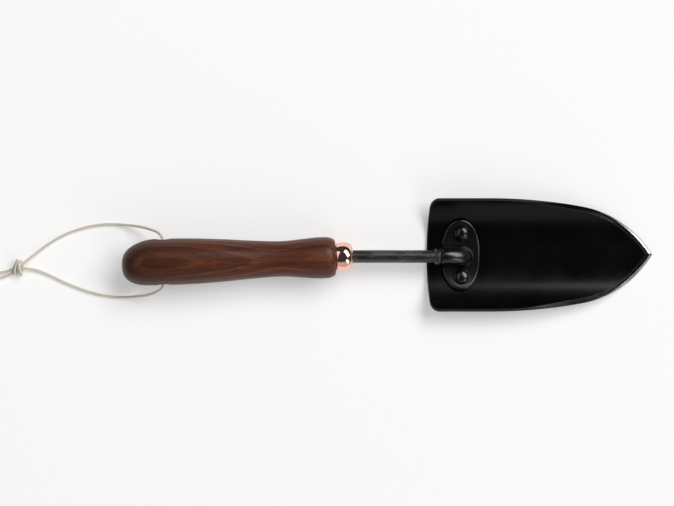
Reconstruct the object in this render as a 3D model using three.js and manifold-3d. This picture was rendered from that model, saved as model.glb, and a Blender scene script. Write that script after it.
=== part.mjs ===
// A garden hand trowel, lying on a flat surface with the blade's hollow side up.
// Millimetres, +Z up. +X runs from the butt of the handle to the blade's tip. The origin is under the middle
// of the tool's box (without its cord), on the surface.
import * as THREE from "three";
import { mergeVertices } from "three/addons/utils/BufferGeometryUtils.js";
import Module from "manifold-3d";

const wasm = await Module();
wasm.setup();

// ---- Driving dimensions ----
const GAP = 0.3; // clearance between touching pieces

// Blade: a pressed trough with a flat land along its middle and a round arc on each side.
const SHEET = 2; // thickness
const LAND = 8; // half width of the flat land
const TROUGH_R = 38; // radius of the side arcs, on the outer face
const HEEL_X = 25.2;
const HEEL_BOW_R = 280;
const HEEL_CORNER_R = 6.3;
const HALF_WIDTH = 37.1; // of the parallel part, measured across the trough
const TAPER_X = 66; // where the parallel part ends
const TAPER_R = 340; // long arc of the narrowing sides
const SHOULDER_X = 127; // where the point's arcs begin
const SHOULDER_R = 69;
const BEVEL_START_X = 87;
const BEVEL_FULL_X = 118;
const BEVEL_WIDTH = 3;
const BEVEL_SLOPE = 0.5; // thickness lost for each mm of width

// Haft: the shank, ferrule and handle. Its axis sinks a little towards the tip.
const SHOULDER_FACE_X = -34.4; // front face of the wood
const HAFT_Y = -1.04;
const HAFT_Z = 13.45; // axis height at the front face
const HAFT_PITCH = 0.0182; // radians
const WOOD_YAW = 0.0262; // the wood was bored slightly out of line
const WOOD_OFFSET_Y = -0.6;

const SHANK_R = 4.2;
const SHANK_END = 68.9; // where the full rod stops, measured from the front face of the wood
const SPIGOT_R = 3.2; // reduced ends, in the boss and in the wood
const SPIGOT_LENGTH = 14.6;
const TANG_LENGTH = 98;
const BEAD_R = 5.5; // weld bead round the rod
const BEAD_LENGTH = 4.4;
const BEAD_TOE = 0.5; // height of the bead at its ends
const TANG_POINT = 3; // length of the tang's tapered point
const TANG_TAPER = 1.2;

const FERRULE_R = 9.5;
const FERRULE_WALL = 1;
const FERRULE_LENGTH = 11.2;
const FERRULE_DOME = 4.8; // length of the domed end
const FERRULE_LIP = 0.9; // flat ring round the shank's hole
const WOOD_SPIGOT_LENGTH = 5.6;

const HANDLE_LENGTH = 138.7;
const BULGE_R = 15.15;
const BUTT_LENGTH = 26; // rounded end
const BUTT_POWER = 2.6; // bluntness of the rounded end
const BUTT_SHARES = [0.8, 0.6, 0.44, 0.3, 0.19, 0.1, 0.04, 0.012]; // rings of the rounded end
const SHOULDER_ROUND = 3.8;
const FLARE_R = 13.45;
// [radius, distance from the front face of the wood] between the flare and the bulge
const WAIST = [
  [13.4, -12],
  [12.45, -23],
  [11.55, -36],
  [12.4, -54],
  [13.9, -74],
  [14.95, -95],
];
const CORD_HOLE_R = 2.2;
const CORD_HOLE_X = -111.8; // from the front face of the wood
const COUNTERSINK_R = 4.2;
const COUNTERSINK_DEPTH = 2;
const TOOL_LEAD = 4; // how far a cutting shape runs out past the surface

// Socket bracket: an oval pad that follows the trough, with a finger-shaped boss on it.
const PAD_X = 47.6;
const PAD_HALF_X = 12.4;
const PAD_HALF_Y = 24.3;
const PAD_POWER = 2.2; // squareness of the oval
const PAD_THICKNESS = 2.2;
const PAD_CHAMFER = 0.8;
const PAD_NARROWEST = 0.4; // the least share of the pad's width that stays flat on top
const PAD_END = 87; // degrees of a quarter turn at which the pad's ends are cut off
const BOSS_START = 34.9;
const BOSS_END = 56;
const BOSS_NOSE = 9; // length of the rounded nose
const BOSS_R = 5.5;
const BOSS_FOOT = 8.4; // half width where it meets the pad
const BOSS_SINK = 0.9; // depth of the foot in the pad
const BOSS_NOSE_FALL = 0.8; // how the crown falls as the nose narrows
const BOSS_NOSE_STEP = 10.6; // degrees

// Rivets
const RIVET_X = 48.1;
const RIVET_Y = 14.9;
const RIVET_HEAD_R = 5;
const RIVET_HEAD_HEIGHT = 3.2;
const RIVET_HEAD_LIFT = 0.69; // the head's rim touches the pad's hollow curve first
const RIVET_R = 2.5;
const RIVET_TAIL_R = 3.8;
const RIVET_TAIL_HEIGHT = 1.1;
const RIVET_TAIL_RECESS = 0.3;

// Lanyard: one cotton cord, tied in a knot behind the butt.
const CORD_R = 1;
const CORD_SIDES = 8;
const CORD_STEP = 5;
const KNOT = { x: -242.3, y: -8.2, z: 3.2, halfX: 4.2, halfY: 5.6, halfZ: 3 };
const UPPER_ROUTE = [
  [-146.3, -4.4, 14.9],
  [-146.4, 4, 14.9],
  [-147, 11, 14.7],
  [-150, 14.7, 13],
  [-155.8, 17, 10],
  [-162.6, 18.6, 6.4],
  [-170, 19.5, 3.2],
  [-178, 20.1, 1.5],
  [-186.3, 20, 1.1],
  [-194.2, 18.9, 1.1],
  [-202.1, 16.9, 1.1],
  [-209.9, 14.1, 1.1],
  [-217.8, 10, 1.1],
  [-225.7, 4.8, 1.3],
  [-232.6, -0.6, 2.1],
  [-237.3, -4.4, 3],
];
const LOWER_ROUTE = [
  [-146.2, -4.9, 14.9],
  [-146.1, -13, 14.9],
  [-146.8, -20.6, 14.7],
  [-150.8, -24, 12.8],
  [-157.2, -26.2, 9.3],
  [-164.6, -27.2, 5.6],
  [-172.2, -27.7, 2.6],
  [-180.6, -27.5, 1.3],
  [-188.8, -26.2, 1.1],
  [-196.9, -24, 1.1],
  [-205, -21.1, 1.1],
  [-213.2, -17.6, 1.1],
  [-221.4, -13.7, 1.1],
  [-229.4, -10.4, 1.5],
  [-236.9, -8.9, 2.4],
];
const UPPER_TAIL = [
  [-247, -9.9, 2.4],
  [-250.7, -11, 1.5],
  [-255.1, -11.7, 1.1],
  [-259.6, -11.6, 1.1],
  [-263.9, -10.5, 1.1],
  [-267.6, -8.2, 1.1],
  [-270.4, -5, 1.1],
  [-272, -1.1, 1.1],
];
const LOWER_TAIL = [
  [-246.8, -12.4, 2],
  [-250.4, -13.9, 1.3],
  [-254.5, -15.2, 1.1],
  [-258.8, -16.8, 1.1],
  [-262.5, -19.2, 1.1],
  [-265.4, -22.6, 1.1],
  [-267.1, -26.7, 1.1],
  [-267.3, -31, 1.1],
];

// ---- Materials ----
const coatedSteel = new THREE.MeshStandardMaterial({ color: 0x141414, roughness: 0.45, metalness: 0 });
const blackRod = new THREE.MeshStandardMaterial({ color: 0x3a3a3b, roughness: 0.5, metalness: 0.3 });
const copperPlate = new THREE.MeshStandardMaterial({ color: 0xd99a80, roughness: 0.1, metalness: 1 });
const walnut = new THREE.MeshStandardMaterial({ color: 0x55352a, roughness: 0.55, metalness: 0 });
const cottonCord = new THREE.MeshStandardMaterial({ color: 0xd8cdb8, roughness: 0.9, metalness: 0 });

// ---- Solids and meshes ----

// A closed geometry as a solid that can be joined and cut.
function solid(geometry) {
  const bare = geometry.clone();
  bare.deleteAttribute("normal");
  bare.deleteAttribute("uv");
  const merged = mergeVertices(bare, 1e-4);
  return new wasm.Manifold(
    new wasm.Mesh({
      numProp: 3,
      vertProperties: new Float32Array(merged.attributes.position.array),
      triVerts: new Uint32Array(merged.index.array),
    }),
  );
}

function geometryOf(shape) {
  const made = shape.getMesh();
  const geometry = new THREE.BufferGeometry();
  geometry.setAttribute("position", new THREE.BufferAttribute(new Float32Array(made.vertProperties), 3));
  geometry.setIndex(new THREE.BufferAttribute(new Uint32Array(made.triVerts), 1));
  return geometry;
}

function addNode(parent, name, geometry, material) {
  const mesh = new THREE.Mesh(geometry, material);
  mesh.name = name;
  parent.add(mesh);
  return mesh;
}

// Joins rings of points, each with as many points as the next, into one closed surface. A ring runs clockwise
// as seen from the ring before it.
function loft(rings) {
  const count = rings[0].length;
  const positions = rings.flat(2);
  const index = [];
  const same = (a, b) =>
    Math.hypot(
      positions[3 * a] - positions[3 * b],
      positions[3 * a + 1] - positions[3 * b + 1],
      positions[3 * a + 2] - positions[3 * b + 2],
    ) < 1e-4;
  const face = (a, b, c) => {
    if (!same(a, b) && !same(b, c) && !same(c, a)) index.push(a, b, c);
  };
  for (let i = 0; i + 1 < rings.length; i++) {
    for (let j = 0; j < count; j++) {
      const a = i * count + j;
      const b = i * count + ((j + 1) % count);
      face(a, b, b + count);
      face(a, b + count, a + count);
    }
  }
  const last = (rings.length - 1) * count;
  for (let j = 1; j + 1 < count; j++) {
    face(0, j + 1, j);
    face(last, last + j, last + j + 1);
  }
  const geometry = new THREE.BufferGeometry();
  geometry.setAttribute("position", new THREE.BufferAttribute(new Float32Array(positions), 3));
  geometry.setIndex(index);
  return geometry;
}

// A round piece along +X, from [radius, x] points that run towards -X.
function turned(profile, segments) {
  const points = profile.map(([radius, x]) => new THREE.Vector2(radius, -x));
  return new THREE.LatheGeometry(points, segments).rotateZ(Math.PI / 2);
}

// A straight rod or bore along +X.
function rod(radius, fromX, toX, segments = 32) {
  return turned([[0, toX], [radius, toX], [radius, fromX], [0, fromX]], segments);
}

const degrees = (value) => (value * Math.PI) / 180;

// ---- The trough: points of its outer face and the direction into the hollow ----

// s is the distance from the middle, measured along the outer face.
function troughPoint(s, depth) {
  const side = Math.sign(s);
  const angle = Math.max(0, Math.abs(s) - LAND) / TROUGH_R;
  const flat = Math.min(Math.abs(s), LAND);
  const y = side * (flat + TROUGH_R * Math.sin(angle) - depth * Math.sin(angle));
  const z = TROUGH_R * (1 - Math.cos(angle)) + depth * Math.cos(angle);
  return [y, z];
}

// The same distance for a point at half width y.
function troughDistance(y) {
  return y <= LAND ? y : LAND + TROUGH_R * Math.asin((y - LAND) / TROUGH_R);
}

// ---- Blade ----
const TAPER_CENTRE_Y = HALF_WIDTH - TAPER_R;
const TAPER_ANGLE = Math.asin((SHOULDER_X - TAPER_X) / TAPER_R);
const SHOULDER_Y = TAPER_CENTRE_Y + TAPER_R * Math.cos(TAPER_ANGLE);
const POINT_CENTRE = {
  x: SHOULDER_X - SHOULDER_R * Math.sin(TAPER_ANGLE),
  y: SHOULDER_Y - SHOULDER_R * Math.cos(TAPER_ANGLE),
};
const TIP_ANGLE = Math.acos(-POINT_CENTRE.y / SHOULDER_R);
const CORNER_Y = HALF_WIDTH - HEEL_CORNER_R;
const CORNER_X = HEEL_X + CORNER_Y ** 2 / (2 * HEEL_BOW_R) + HEEL_CORNER_R;

// The heel's edge at half width y.
function heelX(y) {
  if (y <= CORNER_Y) return HEEL_X + y ** 2 / (2 * HEEL_BOW_R);
  return CORNER_X - Math.sqrt(Math.max(0, HEEL_CORNER_R ** 2 - (y - CORNER_Y) ** 2));
}

// The front edge as [x, y] points from the tip to the end of the taper.
function frontEdge(pointSteps, taperSteps) {
  const edge = [];
  for (let i = 0; i <= pointSteps; i++) {
    const angle = THREE.MathUtils.lerp(TIP_ANGLE, TAPER_ANGLE, i / pointSteps);
    edge.push([POINT_CENTRE.x + SHOULDER_R * Math.sin(angle), POINT_CENTRE.y + SHOULDER_R * Math.cos(angle)]);
  }
  for (let i = 1; i <= taperSteps; i++) {
    const angle = TAPER_ANGLE * (1 - i / taperSteps);
    edge.push([TAPER_X + TAPER_R * Math.sin(angle), TAPER_CENTRE_Y + TAPER_R * Math.cos(angle)]);
  }
  edge[0][1] = 0;
  return edge;
}

const bevelWidth = (x) => BEVEL_WIDTH * THREE.MathUtils.smoothstep(x, BEVEL_START_X, BEVEL_FULL_X);

// x of a falling or rising line of [x, s] points at distance s.
function xAt(line, s) {
  for (let i = 0; i + 1 < line.length; i++) {
    const [x0, s0] = line[i];
    const [x1, s1] = line[i + 1];
    if (s0 <= s && s <= s1) return s1 === s0 ? x0 : x0 + ((x1 - x0) * (s - s0)) / (s1 - s0);
  }
  return line[line.length - 1][0];
}

function bladeGeometry() {
  const edge = frontEdge(14, 8);
  const fine = frontEdge(80, 60).map(([x, y]) => [x, troughDistance(y)]);
  // The bevel's inner line lies inside the front edge by the bevel's width.
  const inner = fine.map(([x, s], i) => {
    const before = fine[Math.max(0, i - 1)];
    const after = fine[Math.min(fine.length - 1, i + 1)];
    const along = new THREE.Vector2(after[0] - before[0], after[1] - before[1]).normalize();
    return [x - along.y * bevelWidth(x), s + along.x * bevelWidth(x)];
  });
  const widths = edge.map(([, y]) => y);
  for (let i = 1; i < 6; i++) widths.push(CORNER_Y + HEEL_CORNER_R * Math.sin(degrees(15 * i)));
  widths.push(LAND);
  widths.sort((a, b) => a - b);
  const half = widths.filter((y, i) => i === 0 || y - widths[i - 1] > 0.05);
  half[half.length - 1] = HALF_WIDTH;
  const stations = [...half.slice(1).reverse().map((y) => -y), ...half];
  const rings = stations.map((y) => {
    const s = troughDistance(Math.abs(y));
    const back = heelX(Math.abs(y));
    const front = xAt(fine, s);
    const bevel = bevelWidth(front);
    const rim = SHEET - BEVEL_SLOPE * bevel;
    const innerFront = bevel > 0 ? Math.min(front, xAt(inner, s)) : front;
    const at = (x, depth) => [x, ...troughPoint(y < 0 ? -s : s, depth)];
    return [at(back, 0), at(back, SHEET), at(innerFront, SHEET), at(front, rim), at(front, 0)];
  });
  return loft(rings);
}

// A frame for a rivet: its local +X is the direction into the hollow, at the blade's outer face.
function rivetFrame(side) {
  const s = troughDistance(RIVET_Y);
  const angle = (s - LAND) / TROUGH_R;
  const [y, z] = troughPoint(side * s, 0);
  const frame = new THREE.Group();
  frame.position.set(RIVET_X, y, z);
  frame.quaternion.setFromUnitVectors(
    new THREE.Vector3(1, 0, 0),
    new THREE.Vector3(0, -side * Math.sin(angle), Math.cos(angle)),
  );
  frame.updateMatrix();
  return frame;
}

const padTop = SHEET + GAP + PAD_THICKNESS;

function rivetGeometry() {
  const seat = padTop + RIVET_HEAD_LIFT;
  const dome = [];
  for (let i = 0; i <= 6; i++) {
    const angle = degrees(15 * i);
    dome.push([RIVET_HEAD_R * Math.sin(angle), seat + RIVET_HEAD_HEIGHT * Math.cos(angle)]);
  }
  dome[0][0] = 0;
  return turned(
    [
      ...dome,
      [RIVET_R, seat],
      [RIVET_R, RIVET_TAIL_RECESS + RIVET_TAIL_HEIGHT],
      [RIVET_TAIL_R, RIVET_TAIL_RECESS],
      [0, RIVET_TAIL_RECESS],
    ],
    24,
  );
}

// The hole for a rivet, with its countersink on the blade's outer face.
function rivetHole() {
  return turned(
    [
      [0, padTop + TOOL_LEAD],
      [RIVET_R + GAP, padTop + TOOL_LEAD],
      [RIVET_R + GAP, RIVET_TAIL_RECESS + RIVET_TAIL_HEIGHT + GAP],
      [RIVET_TAIL_R + GAP, RIVET_TAIL_RECESS],
      [RIVET_TAIL_R + GAP, -TOOL_LEAD],
      [0, -TOOL_LEAD],
    ],
    24,
  );
}

// ---- Haft frame: local +X runs along the shank from the front face of the wood ----
const haft = new THREE.Group();
haft.position.set(SHOULDER_FACE_X, HAFT_Y, HAFT_Z);
haft.rotation.y = HAFT_PITCH;
haft.updateMatrix();

// ---- Socket bracket ----
function padGeometry() {
  const limit = troughDistance(PAD_HALF_Y);
  const steps = 12;
  const rings = [];
  for (let i = -steps; i <= steps; i++) {
    const s = limit * Math.sin(degrees(PAD_END * (i / steps)));
    const reach = PAD_HALF_X * (1 - Math.abs(s / limit) ** PAD_POWER) ** (1 / PAD_POWER);
    const topReach = Math.max(PAD_NARROWEST * reach, reach - PAD_CHAMFER);
    const at = (x, depth) => [x, ...troughPoint(s, depth)];
    rings.push([
      at(PAD_X - reach, SHEET + GAP),
      at(PAD_X - reach, padTop - PAD_CHAMFER),
      at(PAD_X - topReach, padTop),
      at(PAD_X + topReach, padTop),
      at(PAD_X + reach, padTop - PAD_CHAMFER),
      at(PAD_X + reach, SHEET + GAP),
    ]);
  }
  return loft(rings);
}

// The boss: an arch over the shank's axis with concave flanks, closed by a rounded nose.
function bossGeometry() {
  const foot = padTop - BOSS_SINK;
  const arch = [];
  for (let i = 3; i >= 1; i--) arch.push([BOSS_R + (BOSS_FOOT - BOSS_R) * (i / 3) ** 2, -i / 3]);
  for (let i = 0; i <= 12; i++) arch.push([BOSS_R * Math.cos(degrees(15 * i)), Math.sin(degrees(15 * i))]);
  for (let i = 1; i <= 3; i++) arch.push([-BOSS_R - (BOSS_FOOT - BOSS_R) * (i / 3) ** 2, -i / 3]);
  const stations = [BOSS_START, BOSS_END - BOSS_NOSE];
  for (let i = 1; i <= 8; i++) {
    const forward = Math.sin(degrees(BOSS_NOSE_STEP * i));
    stations.push(BOSS_END - BOSS_NOSE * (1 - forward));
  }
  const rings = stations.map((x) => {
    const across = Math.max(0, x - (BOSS_END - BOSS_NOSE)) / BOSS_NOSE;
    const swell = Math.sqrt(1 - across ** 2);
    const axisZ = HAFT_Z - HAFT_PITCH * (x - SHOULDER_FACE_X);
    return arch.map(([y, rise]) => {
      const z = rise < 0 ? axisZ + rise * (axisZ - foot) : axisZ + rise * BOSS_R;
      return [x, HAFT_Y + y * swell, foot + (z - foot) * swell ** BOSS_NOSE_FALL];
    });
  });
  return loft(rings);
}

// ---- Handle, along its own axis ----
function handleGeometry() {
  const profile = [];
  const front = SHOULDER_ROUND;
  for (let i = 0; i <= 5; i++) {
    const angle = degrees(18 * i);
    profile.push([FLARE_R - front + front * Math.sin(angle), -front + front * Math.cos(angle)]);
  }
  const waist = new THREE.SplineCurve([
    new THREE.Vector2(FLARE_R, -SHOULDER_ROUND),
    ...WAIST.map(([radius, x]) => new THREE.Vector2(radius, x)),
    new THREE.Vector2(BULGE_R, BUTT_LENGTH - HANDLE_LENGTH),
  ]);
  for (const point of waist.getPoints(21).slice(1)) profile.push([point.x, point.y]);
  for (const share of BUTT_SHARES) {
    const radius = BULGE_R * (1 - (1 - share) ** 3) ** (1 / BUTT_POWER);
    profile.push([radius, BUTT_LENGTH * share - HANDLE_LENGTH]);
  }
  return turned([[0, 0], ...profile, [0, -HANDLE_LENGTH]], 40);
}

// The cord's cross-hole with a countersink at each mouth, across the handle's own axis.
function cordHole(axisAngle) {
  const reach = BULGE_R + TOOL_LEAD;
  const mouth = BULGE_R - COUNTERSINK_DEPTH;
  const wide = CORD_HOLE_R + ((COUNTERSINK_R - CORD_HOLE_R) * (reach - mouth)) / COUNTERSINK_DEPTH;
  return turned(
    [
      [0, reach],
      [wide, reach],
      [CORD_HOLE_R, mouth],
      [CORD_HOLE_R, -mouth],
      [wide, -reach],
      [0, -reach],
    ],
    24,
  )
    .rotateZ(axisAngle)
    .translate(CORD_HOLE_X, 0, 0);
}

// ---- Assembly ----
const trowel = new THREE.Group();
trowel.add(haft);

const rivetFrames = { rivet_left: rivetFrame(1), rivet_right: rivetFrame(-1) };
const rivetHoles = Object.values(rivetFrames).map((frame) => solid(rivetHole().applyMatrix4(frame.matrix)));

let blade = solid(bladeGeometry());
let bracket = solid(padGeometry()).add(solid(bossGeometry()));
for (const hole of rivetHoles) {
  blade = blade.subtract(hole);
  bracket = bracket.subtract(hole);
}
const bossBore = rod(SPIGOT_R + GAP, SHANK_END - TOOL_LEAD, SHANK_END + SPIGOT_LENGTH + GAP);
bracket = bracket.subtract(solid(bossBore.applyMatrix4(haft.matrix)));
addNode(trowel, "blade", geometryOf(blade), coatedSteel);
addNode(trowel, "socket_bracket", geometryOf(bracket), coatedSteel);

for (const [name, frame] of Object.entries(rivetFrames)) {
  addNode(frame, name, rivetGeometry(), coatedSteel);
  trowel.add(frame);
}

const shank = turned(
  [
    [0, SHANK_END + SPIGOT_LENGTH],
    [SPIGOT_R, SHANK_END + SPIGOT_LENGTH],
    [SPIGOT_R, SHANK_END],
    [SHANK_R + BEAD_TOE, SHANK_END],
    [BEAD_R, SHANK_END - 0.3 * BEAD_LENGTH],
    [BEAD_R, SHANK_END - 0.6 * BEAD_LENGTH],
    [SHANK_R + BEAD_TOE, SHANK_END - 0.9 * BEAD_LENGTH],
    [SHANK_R, SHANK_END - BEAD_LENGTH],
    [SHANK_R, WOOD_SPIGOT_LENGTH + GAP],
    [SPIGOT_R, WOOD_SPIGOT_LENGTH + GAP],
    [SPIGOT_R, TANG_POINT - TANG_LENGTH],
    [SPIGOT_R - TANG_TAPER, -TANG_LENGTH],
    [0, -TANG_LENGTH],
  ],
  32,
);
addNode(haft, "shank", shank, blackRod);

const ferrule = [[SHANK_R + GAP, FERRULE_LENGTH - FERRULE_WALL]];
const domeStart = FERRULE_LENGTH - FERRULE_DOME;
const domeFrom = SHANK_R + GAP + FERRULE_LIP;
for (let i = 0; i <= 6; i++) {
  const angle = degrees(15 * i);
  const radius = domeFrom + (FERRULE_R - domeFrom) * Math.sin(angle);
  ferrule.push([i === 0 ? SHANK_R + GAP : radius, domeStart + FERRULE_DOME * Math.cos(angle)]);
}
ferrule.push([FERRULE_R, GAP]);
ferrule.push([FERRULE_R - FERRULE_WALL, GAP]);
for (let i = 6; i >= 1; i--) {
  const angle = degrees(15 * i);
  const radius = domeFrom + (FERRULE_R - FERRULE_WALL - domeFrom) * Math.sin(angle);
  ferrule.push([radius, domeStart + (FERRULE_DOME - FERRULE_WALL) * Math.cos(angle)]);
}
ferrule.push([SHANK_R + GAP, FERRULE_LENGTH - FERRULE_WALL]);
addNode(haft, "ferrule", turned(ferrule, 40), copperPlate);

const wood = new THREE.Group();
wood.position.set(0, WOOD_OFFSET_Y, 0);
wood.rotation.z = WOOD_YAW;
wood.updateMatrix();
haft.add(wood);
const haftInWood = wood.matrix.clone().invert();
const woodSpigot = rod(FERRULE_R - FERRULE_WALL - GAP, -SHOULDER_ROUND, WOOD_SPIGOT_LENGTH - GAP, 40);
const tangBore = rod(SPIGOT_R + GAP, -TANG_LENGTH - 2 * GAP, FERRULE_LENGTH);
const handle = solid(handleGeometry())
  .add(solid(woodSpigot.applyMatrix4(haftInWood)))
  .subtract(solid(tangBore.applyMatrix4(haftInWood)))
  .subtract(solid(cordHole(degrees(90))));
addNode(wood, "handle", geometryOf(handle), walnut);

// ---- Lanyard ----
function cordTube(route) {
  const path = new THREE.CatmullRomCurve3(route.map((point) => new THREE.Vector3(...point)));
  const section = new THREE.Shape();
  for (let i = 0; i < CORD_SIDES; i++) {
    const angle = (2 * Math.PI * i) / CORD_SIDES;
    const corner = [CORD_R * Math.cos(angle), CORD_R * Math.sin(angle)];
    if (i === 0) section.moveTo(...corner);
    else section.lineTo(...corner);
  }
  section.closePath();
  const steps = Math.ceil(path.getLength() / CORD_STEP);
  return new THREE.ExtrudeGeometry(section, { extrudePath: path, steps, bevelEnabled: false });
}

addNode(trowel, "lanyard_upper", cordTube(UPPER_ROUTE), cottonCord);
addNode(trowel, "lanyard_lower", cordTube(LOWER_ROUTE), cottonCord);
addNode(trowel, "lanyard_tail_upper", cordTube(UPPER_TAIL), cottonCord);
addNode(trowel, "lanyard_tail_lower", cordTube(LOWER_TAIL), cottonCord);
const knot = new THREE.SphereGeometry(1, 16, 10);
const knotMesh = addNode(trowel, "lanyard_knot", knot, cottonCord);
knotMesh.position.set(KNOT.x, KNOT.y, KNOT.z);
knotMesh.scale.set(KNOT.halfX, KNOT.halfY, KNOT.halfZ);

export default trowel;
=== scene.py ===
import math

import bmesh
import bpy
from mathutils import Matrix, Vector, noise


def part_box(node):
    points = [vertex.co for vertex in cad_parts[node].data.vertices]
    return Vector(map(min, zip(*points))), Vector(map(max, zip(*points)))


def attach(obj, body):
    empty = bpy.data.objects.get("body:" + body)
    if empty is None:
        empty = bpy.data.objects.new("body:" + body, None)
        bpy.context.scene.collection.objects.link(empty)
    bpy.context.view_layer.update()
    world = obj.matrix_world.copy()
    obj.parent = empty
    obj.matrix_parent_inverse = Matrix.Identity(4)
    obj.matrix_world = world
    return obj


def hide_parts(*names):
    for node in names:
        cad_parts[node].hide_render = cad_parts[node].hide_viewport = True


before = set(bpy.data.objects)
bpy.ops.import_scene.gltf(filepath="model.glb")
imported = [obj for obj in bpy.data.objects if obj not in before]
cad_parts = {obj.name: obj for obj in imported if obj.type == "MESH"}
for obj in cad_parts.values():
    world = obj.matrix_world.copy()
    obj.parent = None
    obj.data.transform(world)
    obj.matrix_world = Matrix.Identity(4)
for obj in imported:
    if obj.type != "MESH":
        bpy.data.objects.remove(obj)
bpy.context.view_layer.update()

# A garden hand trowel, lying hollow side up on a pale table: pressed steel blade, riveted socket bracket,
# steel shank, copper ferrule, turned walnut handle and a cotton lanyard.
# Lengths are written in millimetres, and mm turns them to metres.
mm = 0.001
scene = bpy.context.scene
print("frame loaded:", len(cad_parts), "CAD nodes")


def linear(hexColour):  # sRGB hex to the linear colour that shaders take
    channels = [int(hexColour[start:start + 2], 16) / 255 for start in (1, 3, 5)]
    return [c / 12.92 if c <= 0.04045 else ((c + 0.055) / 1.055) ** 2.4 for c in channels] + [1]


def smooth(value, low, high):
    t = min(1, max(0, (value - low) / (high - low)))
    return t * t * (3 - 2 * t)


def addNode(tree, kind, values=None, links=None, stops=(), **settings):
    node = tree.nodes.new("ShaderNode" + kind)
    for name, value in settings.items():
        setattr(node, name, value)
    for index, (position, colour) in enumerate(stops):  # of a colour ramp, from left to right
        elements = node.color_ramp.elements
        stop = elements[index] if index < 2 else elements.new(position)
        stop.position = position
        stop.color = linear(colour)
    for socket, value in (values or {}).items():
        node.inputs[socket].default_value = value
    for socket, source in (links or {}).items():
        tree.links.new(source, node.inputs[socket])
    return node


def newMaterial(name):
    material = bpy.data.materials.new(name)
    material.use_nodes = True
    material.node_tree.nodes.clear()
    return material, material.node_tree


# Rings of points with equal counts, skinned with quads. joined also ties the last ring to the first.
def skinRings(rings, joined=False):
    count = len(rings[0])
    points = [point for ring in rings for point in ring]
    faces = []
    for i in range(len(rings) if joined else len(rings) - 1):
        here, there = i * count, ((i + 1) % len(rings)) * count
        for j in range(count):
            k = (j + 1) % count
            faces.append((here + j, here + k, there + k, there + j))
    if not joined:
        faces.append(tuple(range(count))[::-1])
        faces.append(tuple(range(len(points) - count, len(points))))
    return points, faces


def turnRings(profile, sides):  # a turned shape along X from (x, radius) pairs
    turns = [2 * math.pi * k / sides for k in range(sides)]
    return [[Vector((x, r * math.cos(a), r * math.sin(a))) for a in turns] for x, r in profile]


def smoothPath(route, step):  # a Catmull-Rom curve through the points, sampled about every step
    points = [Vector(point) for point in route]
    last = len(points) - 1
    path = []
    for i in range(last):
        a, b, c, d = points[max(i - 1, 0)], points[i], points[i + 1], points[min(i + 2, last)]
        count = max(1, round((c - b).length / step))
        for k in range(count):
            t = k / count
            bend = (2 * a - 5 * b + 4 * c - d) * t ** 2 + (3 * b - a - 3 * c + d) * t ** 3
            path.append((2 * b + (c - a) * t + bend) / 2)
    path.append(points[-1])
    return path


def shadeSmooth(mesh, sharpFrom):
    mesh.shade_smooth()
    mesh.set_sharp_from_angle(angle=math.radians(sharpFrom))


def addPiece(name, points, faces, materials, place=Matrix(), zones=None, sharpFrom=38):
    mesh = bpy.data.meshes.new(name)
    mesh.from_pydata([tuple(c * mm for c in point) for point in points], [], faces)
    for material in materials:
        mesh.materials.append(material)
    if zones:
        mesh.polygons.foreach_set("material_index", zones)
    worked = bmesh.new()
    worked.from_mesh(mesh)
    bmesh.ops.recalc_face_normals(worked, faces=worked.faces)
    worked.to_mesh(mesh)
    worked.free()
    shadeSmooth(mesh, sharpFrom)
    piece = bpy.data.objects.new(name, mesh)
    scene.collection.objects.link(piece)
    piece.matrix_world = Matrix.Translation(place.to_translation() * mm) @ place.to_3x3().to_4x4()
    return piece


def setPointValues(piece, name, values):  # a number for each point, which materials read by name
    piece.data.attributes.new(name, "FLOAT", "POINT").data.foreach_set("value", values)


def carve(piece, tool, operation="DIFFERENCE", sharpFrom=38):  # cuts or joins tool, and uses it up
    bpy.context.view_layer.update()
    cut = piece.modifiers.new("carve", "BOOLEAN")
    cut.solver = "EXACT"
    cut.operation = operation
    cut.object = tool
    worked = piece.evaluated_get(bpy.context.evaluated_depsgraph_get())
    mesh = bpy.data.meshes.new_from_object(worked)
    piece.modifiers.clear()
    piece.data = mesh
    shadeSmooth(mesh, sharpFrom)
    bpy.data.objects.remove(tool)


def settle(piece, slot, *nodes):  # the piece rides on the tool's one body and stands for its CAD nodes
    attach(piece, "root")
    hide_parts(*nodes)


# Camera: straight above the tool, far enough back that the blade's walls hardly show.
cameraSettings = {"x": -33.5, "y": 1.24, "height": 1400, "lens": 113.9, "sensor": 36}
cameraData = bpy.data.cameras.new("camera")
cameraData.lens = cameraSettings["lens"]
cameraData.sensor_width = cameraSettings["sensor"]
cameraData.clip_end = 100
camera = bpy.data.objects.new("camera", cameraData)
camera.location = Vector([cameraSettings[key] for key in ("x", "y", "height")]) * mm
scene.collection.objects.link(camera)
scene.camera = camera
scene.view_settings.view_transform = "Standard"
print("camera placed")

# Studio: a wide key softbox ahead of the tool and to its left, a weaker one behind the butt and another low
# ahead to the right, a white bounce along the right-hand side, a dark ceiling, and a faintly glowing white
# table that softens the shadows. azimuth runs from +X towards +Y, and lean is measured down from overhead,
# in degrees. Distances and sizes here are in metres.
studio = {
    "floorColour": "#e6e6e6",
    "floorGlow": 0.3,
    "floorHalf": 6.0,
    "floorDrop": 0.02 * mm,  # keeps the board just clear of what lies on it
    "backdrop": 0.94,
    "ceiling": 0.045,
    "bounce": 0.58,
    "bounceFrom": 0.64,
    "bounceFull": 0.78,
    "lights": {
        "key": {"azimuth": 38, "lean": 43, "distance": 9, "width": 8.6, "height": 4.0, "radiance": 6.55},
        "fill": {"azimuth": 166, "lean": 36, "distance": 9, "width": 11, "height": 3.2, "radiance": 1.1},
        "low": {"azimuth": -44, "lean": 56, "distance": 9, "width": 3.0, "height": 5.4, "radiance": 2.5},
    },
}


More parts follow.
